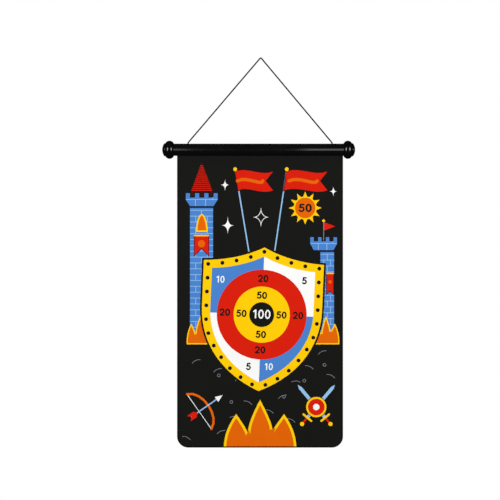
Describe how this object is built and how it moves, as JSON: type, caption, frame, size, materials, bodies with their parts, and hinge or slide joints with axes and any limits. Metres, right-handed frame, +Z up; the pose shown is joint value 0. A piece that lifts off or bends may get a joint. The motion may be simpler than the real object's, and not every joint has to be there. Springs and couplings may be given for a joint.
{
  "type": "magnetic dartboard",
  "caption": "Roll-up magnetic dart target: flexible printed sheet with a shield-shaped target, hung by a cord from a tube with ball-shaped end knobs.",
  "frame": {"origin": "middle of the header tube's axis", "axes": "+X along the header tube to the right, +Z up, the printed face looks towards -Y"},
  "size_m": [0.4186, 0.0394, 0.8469],
  "materials": {
    "tube": "gloss",
    "knob": "gloss",
    "sheet": "satin",
    "cord": "matte",
    "rod": "matte"
  },
  "bodies": {
    "header": {"header_tube": "tube", "end_knob_left": "knob", "end_knob_right": "knob", "hem_rod": "rod", "sheet_hem": "sheet", "cord_tail_left": "cord", "cord_tail_right": "cord"},
    "cord": {"hanging_cord": "cord"},
    "strip_01": {"sheet_strip_01": "sheet"},
    "strip_02": {"sheet_strip_02": "sheet"},
    "strip_03": {"sheet_strip_03": "sheet"},
    "strip_04": {"sheet_strip_04": "sheet"},
    "strip_05": {"sheet_strip_05": "sheet"},
    "strip_06": {"sheet_strip_06": "sheet"},
    "strip_07": {"sheet_strip_07": "sheet"},
    "strip_08": {"sheet_strip_08": "sheet"},
    "strip_09": {"sheet_strip_09": "sheet"},
    "strip_10": {"sheet_strip_10": "sheet"},
    "strip_11": {"sheet_strip_11": "sheet"},
    "strip_12": {"sheet_strip_12": "sheet"},
    "strip_13": {"sheet_strip_13": "sheet"},
    "strip_14": {"sheet_strip_14": "sheet"},
    "strip_15": {"sheet_strip_15": "sheet"},
    "strip_16": {"sheet_strip_16": "sheet"},
    "strip_17": {"sheet_strip_17": "sheet"},
    "strip_18": {"sheet_strip_18": "sheet"},
    "strip_19": {"sheet_strip_19": "sheet"},
    "strip_20": {"sheet_strip_20": "sheet"},
    "strip_21": {"sheet_strip_21": "sheet"},
    "strip_22": {"sheet_strip_22": "sheet"},
    "strip_23": {"sheet_strip_23": "sheet"},
    "strip_24": {"sheet_strip_24": "sheet"},
    "strip_25": {"sheet_strip_25": "sheet"},
    "strip_26": {"sheet_strip_26": "sheet"}
  },
  "joints": [
    {"name": "cord_swing", "type": "hinge", "parent": "header", "child": "cord", "pos_m": [0.003, 0, 0.0152], "axis": [1, 0, 0], "range_deg": [-90, 90]},
    {"name": "roll_up", "type": "hinge", "parent": "header", "child": "strip_01", "pos_m": [0.003, 0.00055, -0.049], "axis": [1, 0, 0], "range_deg": [0, 40]},
    {"name": "roll_bend_02", "type": "hinge", "parent": "strip_01", "child": "strip_02", "pos_m": [0.003, 0.00055, -0.07753], "axis": [1, 0, 0], "range_deg": [0, 40]},
    {"name": "roll_bend_03", "type": "hinge", "parent": "strip_02", "child": "strip_03", "pos_m": [0.003, 0.00055, -0.10562], "axis": [1, 0, 0], "range_deg": [0, 40]},
    {"name": "roll_bend_04", "type": "hinge", "parent": "strip_03", "child": "strip_04", "pos_m": [0.003, 0.00055, -0.13326], "axis": [1, 0, 0], "range_deg": [0, 40]},
    {"name": "roll_bend_05", "type": "hinge", "parent": "strip_04", "child": "strip_05", "pos_m": [0.003, 0.00055, -0.16046], "axis": [1, 0, 0], "range_deg": [0, 40]},
    {"name": "roll_bend_06", "type": "hinge", "parent": "strip_05", "child": "strip_06", "pos_m": [0.003, 0.00055, -0.18721], "axis": [1, 0, 0], "range_deg": [0, 40]},
    {"name": "roll_bend_07", "type": "hinge", "parent": "strip_06", "child": "strip_07", "pos_m": [0.003, 0.00055, -0.21352], "axis": [1, 0, 0], "range_deg": [0, 40]},
    {"name": "roll_bend_08", "type": "hinge", "parent": "strip_07", "child": "strip_08", "pos_m": [0.003, 0.00055, -0.23938], "axis": [1, 0, 0], "range_deg": [0, 40]},
    {"name": "roll_bend_09", "type": "hinge", "parent": "strip_08", "child": "strip_09", "pos_m": [0.003, 0.00055, -0.2648], "axis": [1, 0, 0], "range_deg": [0, 40]},
    {"name": "roll_bend_10", "type": "hinge", "parent": "strip_09", "child": "strip_10", "pos_m": [0.003, 0.00055, -0.28977], "axis": [1, 0, 0], "range_deg": [0, 40]},
    {"name": "roll_bend_11", "type": "hinge", "parent": "strip_10", "child": "strip_11", "pos_m": [0.003, 0.00055, -0.3143], "axis": [1, 0, 0], "range_deg": [0, 40]},
    {"name": "roll_bend_12", "type": "hinge", "parent": "strip_11", "child": "strip_12", "pos_m": [0.003, 0.00055, -0.33838], "axis": [1, 0, 0], "range_deg": [0, 40]},
    {"name": "roll_bend_13", "type": "hinge", "parent": "strip_12", "child": "strip_13", "pos_m": [0.003, 0.00055, -0.36202], "axis": [1, 0, 0], "range_deg": [0, 40]},
    {"name": "roll_bend_14", "type": "hinge", "parent": "strip_13", "child": "strip_14", "pos_m": [0.003, 0.00055, -0.38521], "axis": [1, 0, 0], "range_deg": [0, 40]},
    {"name": "roll_bend_15", "type": "hinge", "parent": "strip_14", "child": "strip_15", "pos_m": [0.003, 0.00055, -0.40796], "axis": [1, 0, 0], "range_deg": [0, 40]},
    {"name": "roll_bend_16", "type": "hinge", "parent": "strip_15", "child": "strip_16", "pos_m": [0.003, 0.00055, -0.43027], "axis": [1, 0, 0], "range_deg": [0, 40]},
    {"name": "roll_bend_17", "type": "hinge", "parent": "strip_16", "child": "strip_17", "pos_m": [0.003, 0.00055, -0.45213], "axis": [1, 0, 0], "range_deg": [0, 40]},
    {"name": "roll_bend_18", "type": "hinge", "parent": "strip_17", "child": "strip_18", "pos_m": [0.003, 0.00055, -0.47354], "axis": [1, 0, 0], "range_deg": [0, 40]},
    {"name": "roll_bend_19", "type": "hinge", "parent": "strip_18", "child": "strip_19", "pos_m": [0.003, 0.00055, -0.49451], "axis": [1, 0, 0], "range_deg": [0, 40]},
    {"name": "roll_bend_20", "type": "hinge", "parent": "strip_19", "child": "strip_20", "pos_m": [0.003, 0.00055, -0.51503], "axis": [1, 0, 0], "range_deg": [0, 40]},
    {"name": "roll_bend_21", "type": "hinge", "parent": "strip_20", "child": "strip_21", "pos_m": [0.003, 0.00055, -0.53511], "axis": [1, 0, 0], "range_deg": [0, 40]},
    {"name": "roll_bend_22", "type": "hinge", "parent": "strip_21", "child": "strip_22", "pos_m": [0.003, 0.00055, -0.55475], "axis": [1, 0, 0], "range_deg": [0, 40]},
    {"name": "roll_bend_23", "type": "hinge", "parent": "strip_22", "child": "strip_23", "pos_m": [0.003, 0.00055, -0.57394], "axis": [1, 0, 0], "range_deg": [0, 40]},
    {"name": "roll_bend_24", "type": "hinge", "parent": "strip_23", "child": "strip_24", "pos_m": [0.003, 0.00055, -0.59268], "axis": [1, 0, 0], "range_deg": [0, 40]},
    {"name": "roll_bend_25", "type": "hinge", "parent": "strip_24", "child": "strip_25", "pos_m": [0.003, 0.00055, -0.61098], "axis": [1, 0, 0], "range_deg": [0, 40]},
    {"name": "roll_bend_26", "type": "hinge", "parent": "strip_25", "child": "strip_26", "pos_m": [0.003, 0.00055, -0.62884], "axis": [1, 0, 0], "range_deg": [0, 40]}
  ],
  "couplings": [
    {"joint": "roll_bend_02", "follows": "roll_up", "ratio": 1},
    {"joint": "roll_bend_03", "follows": "roll_up", "ratio": 1},
    {"joint": "roll_bend_04", "follows": "roll_up", "ratio": 1},
    {"joint": "roll_bend_05", "follows": "roll_up", "ratio": 1},
    {"joint": "roll_bend_06", "follows": "roll_up", "ratio": 1},
    {"joint": "roll_bend_07", "follows": "roll_up", "ratio": 1},
    {"joint": "roll_bend_08", "follows": "roll_up", "ratio": 1},
    {"joint": "roll_bend_09", "follows": "roll_up", "ratio": 1},
    {"joint": "roll_bend_10", "follows": "roll_up", "ratio": 1},
    {"joint": "roll_bend_11", "follows": "roll_up", "ratio": 1},
    {"joint": "roll_bend_12", "follows": "roll_up", "ratio": 1},
    {"joint": "roll_bend_13", "follows": "roll_up", "ratio": 1},
    {"joint": "roll_bend_14", "follows": "roll_up", "ratio": 1},
    {"joint": "roll_bend_15", "follows": "roll_up", "ratio": 1},
    {"joint": "roll_bend_16", "follows": "roll_up", "ratio": 1},
    {"joint": "roll_bend_17", "follows": "roll_up", "ratio": 1},
    {"joint": "roll_bend_18", "follows": "roll_up", "ratio": 1},
    {"joint": "roll_bend_19", "follows": "roll_up", "ratio": 1},
    {"joint": "roll_bend_20", "follows": "roll_up", "ratio": 1},
    {"joint": "roll_bend_21", "follows": "roll_up", "ratio": 1},
    {"joint": "roll_bend_22", "follows": "roll_up", "ratio": 1},
    {"joint": "roll_bend_23", "follows": "roll_up", "ratio": 1},
    {"joint": "roll_bend_24", "follows": "roll_up", "ratio": 1},
    {"joint": "roll_bend_25", "follows": "roll_up", "ratio": 1},
    {"joint": "roll_bend_26", "follows": "roll_up", "ratio": 1}
  ]
}
